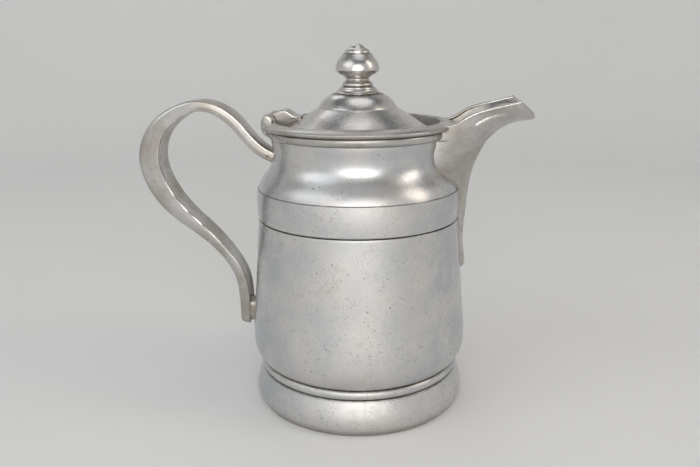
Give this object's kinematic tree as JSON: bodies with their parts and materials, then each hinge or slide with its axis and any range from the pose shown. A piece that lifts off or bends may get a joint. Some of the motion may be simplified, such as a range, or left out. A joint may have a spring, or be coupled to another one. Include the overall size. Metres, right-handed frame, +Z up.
{
  "type": "pitcher",
  "caption": "Metal pitcher with a domed lid hinged at the handle side, an open beak spout, a scroll handle and a flared foot.",
  "frame": {"origin": "on the table, under the centre of the turned body", "axes": "+Z up the body's axis, +X towards the spout, -X towards the handle"},
  "size_m": [0.1771, 0.099, 0.1614],
  "materials": {
    "silver_body": "worn silver plate, satin with fine pits",
    "silver_cast": "worn silver plate on cast metal, satin",
    "silver_lid": "worn silver plate, satin",
    "silver_inside": "dull plated inside",
    "pin_steel": "plain",
    "brass": "plain, slightly tarnished"
  },
  "bodies": {
    "pot": {"lower_body": "silver_body", "upper_body": "silver_body", "rim_moulding": "silver_cast", "lid_seat": "silver_inside", "foot_bead": "silver_body", "foot_ring": "silver_body", "spout": "silver_cast", "handle": "silver_cast", "handle_pad": "silver_cast", "hinge_bracket": "silver_cast", "hinge_pin": "pin_steel"},
    "lid": {"lid_dome": "silver_lid", "lid_flange": "silver_inside", "hinge_leaf": "silver_cast", "finial_base": "silver_lid", "finial_cap": "silver_lid", "finial_stud": "silver_lid", "finial_washer": "brass", "finial_nut": "brass"}
  },
  "joints": [
    {"name": "lid_hinge", "type": "hinge", "parent": "pot", "child": "lid", "pos_m": [-0.03865, 0, 0.1292], "axis": [0, -1, 0], "range_deg": [0, 105]}
  ]
}
